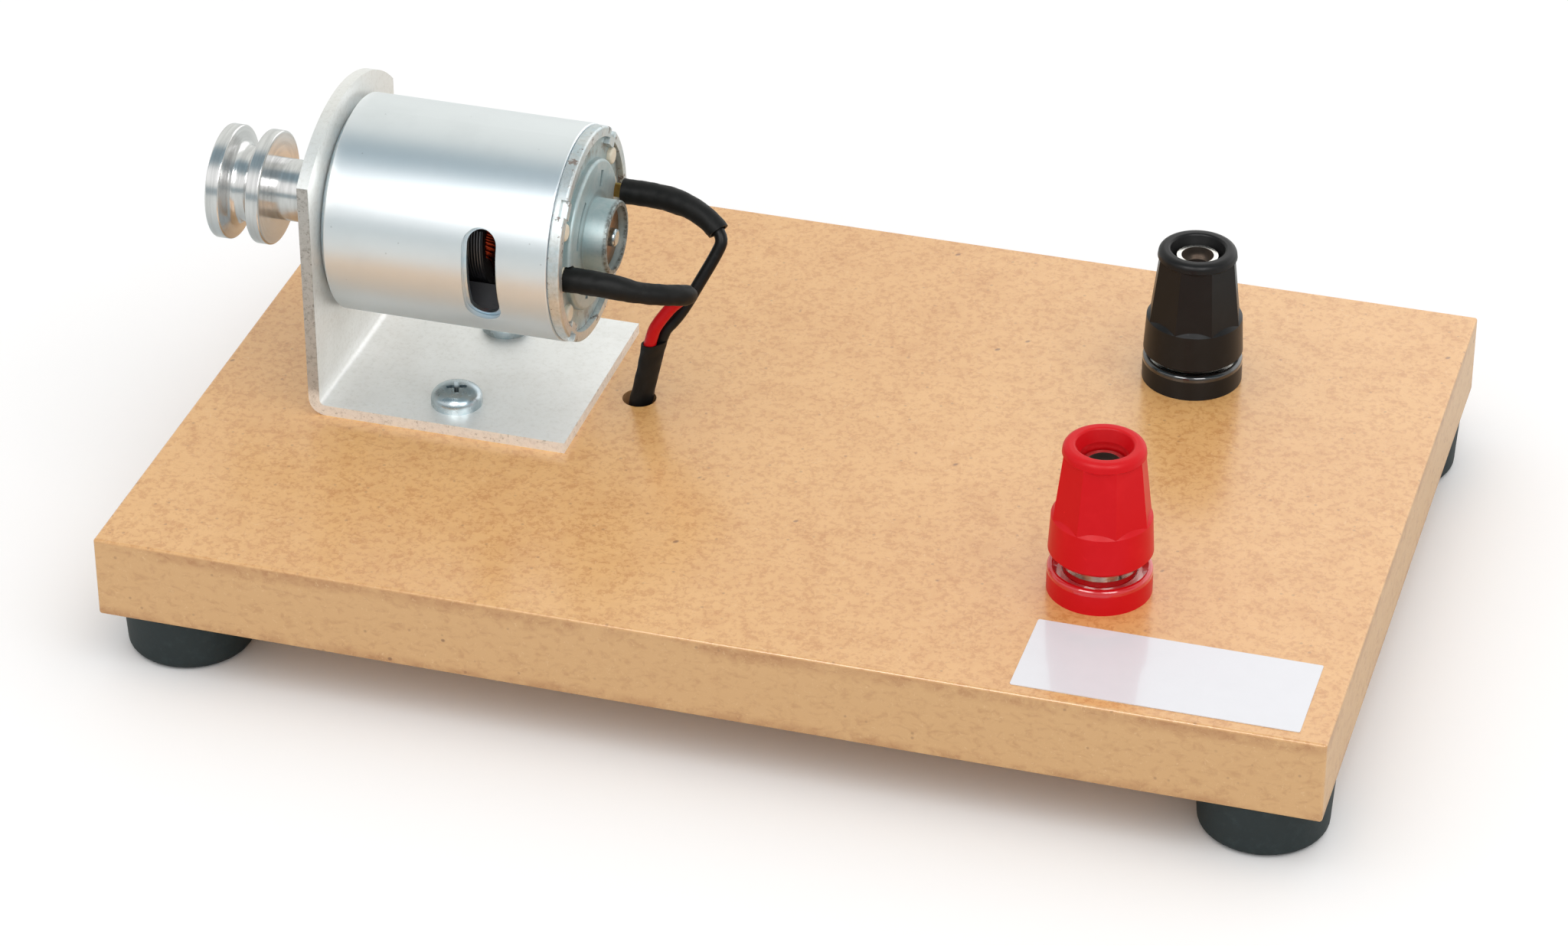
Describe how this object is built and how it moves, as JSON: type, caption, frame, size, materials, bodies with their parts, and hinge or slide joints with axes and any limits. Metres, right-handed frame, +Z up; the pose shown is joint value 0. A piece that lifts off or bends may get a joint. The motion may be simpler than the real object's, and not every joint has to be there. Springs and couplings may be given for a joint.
{
  "type": "demonstration electric motor",
  "caption": "Small permanent-magnet motor with a belt pulley on an aluminium angle, wired through a footed wooden board to a red and a black terminal post.",
  "frame": {"origin": "on the floor under the middle of the footprint, which runs from the pulley's face to the board's right edge", "axes": "+X from the pulley to the terminal posts, along the motor's axis; +Y from the front edge to the back edge; +Z up"},
  "size_m": [0.2116, 0.138, 0.0785],
  "materials": {
    "board": "satin",
    "rubber_black": "matte",
    "screw_steel": "satin",
    "bracket_aluminium": "satin",
    "can_steel": "satin",
    "bell_steel": "satin",
    "bronze": "satin",
    "card_plastic": "matte",
    "ferrite": "matte",
    "spring_steel": "satin",
    "carbon": "matte",
    "terminal_brass": "satin",
    "copper_wire": "gloss",
    "lamination": "satin",
    "phenolic": "matte",
    "pulley_aluminium": "satin",
    "plated_brass": "gloss",
    "red_plastic": "gloss",
    "black_plastic": "gloss",
    "red_insulation": "gloss",
    "black_insulation": "satin",
    "sleeve_black": "matte",
    "label_white": "gloss"
  },
  "bodies": {
    "stand": {"baseboard": "board", "rubber_feet": "rubber_black", "foot_washers": "screw_steel", "foot_screws": "screw_steel", "motor_bracket": "bracket_aluminium", "bracket_screws": "screw_steel", "motor_mount_screws": "screw_steel", "motor_can": "can_steel", "flux_ring": "can_steel", "front_bearing": "bronze", "rear_bearing": "bronze", "end_bell": "bell_steel", "magnets": "ferrite", "magnet_spring": "spring_steel", "brush_card": "card_plastic", "brushes": "carbon", "brush_arms": "terminal_brass", "terminals": "terminal_brass", "red_lead": "red_insulation", "black_lead": "black_insulation", "red_terminal_sleeve": "sleeve_black", "black_terminal_sleeve": "sleeve_black", "lower_sleeve": "sleeve_black", "lead_staples": "screw_steel", "red_collar": "red_plastic", "red_stem": "plated_brass", "red_lower_insulator": "red_plastic", "red_solder_tag": "plated_brass", "red_lock_washer": "screw_steel", "red_nut": "screw_steel", "black_collar": "black_plastic", "black_stem": "plated_brass", "black_lower_insulator": "black_plastic", "black_solder_tag": "plated_brass", "black_lock_washer": "screw_steel", "black_nut": "screw_steel"},
    "rotor": {"shaft": "screw_steel", "armature_core": "lamination", "armature_windings": "copper_wire", "commutator_hub": "phenolic", "commutator_segments": "copper_wire", "thrust_washers": "card_plastic", "rotor_spacer": "terminal_brass", "pulley": "pulley_aluminium", "grub_screw": "screw_steel"},
    "black_insert": {"black_cap_insert": "plated_brass"},
    "black_cap": {"black_cap": "black_plastic"},
    "red_insert": {"red_cap_insert": "plated_brass"},
    "red_cap": {"red_cap": "red_plastic"}
  },
  "joints": [
    {"name": "rotor_spin", "type": "hinge", "parent": "stand", "child": "rotor", "pos_m": [-0.0818, 0, 0.0567], "axis": [1, 0, 0], "continuous": true},
    {"name": "black_cap_turn", "type": "hinge", "parent": "black_insert", "child": "black_cap", "pos_m": [0.0608, 0.035, 0.0301], "axis": [0, 0, 1], "range_deg": [0, 1440]},
    {"name": "black_cap_rise", "type": "slide", "parent": "stand", "child": "black_insert", "axis": [0, 0, 1], "range_m": [0, 0.0041]},
    {"name": "red_cap_turn", "type": "hinge", "parent": "red_insert", "child": "red_cap", "pos_m": [0.0608, -0.035, 0.0321], "axis": [0, 0, 1], "range_deg": [-720, 720]},
    {"name": "red_cap_rise", "type": "slide", "parent": "stand", "child": "red_insert", "axis": [0, 0, 1], "range_m": [-0.00201, 0.00201]}
  ],
  "couplings": [
    {"joint": "black_cap_rise", "follows": "black_cap_turn", "m_per_rad": 0.00015915},
    {"joint": "red_cap_rise", "follows": "red_cap_turn", "m_per_rad": 0.00015915}
  ]
}
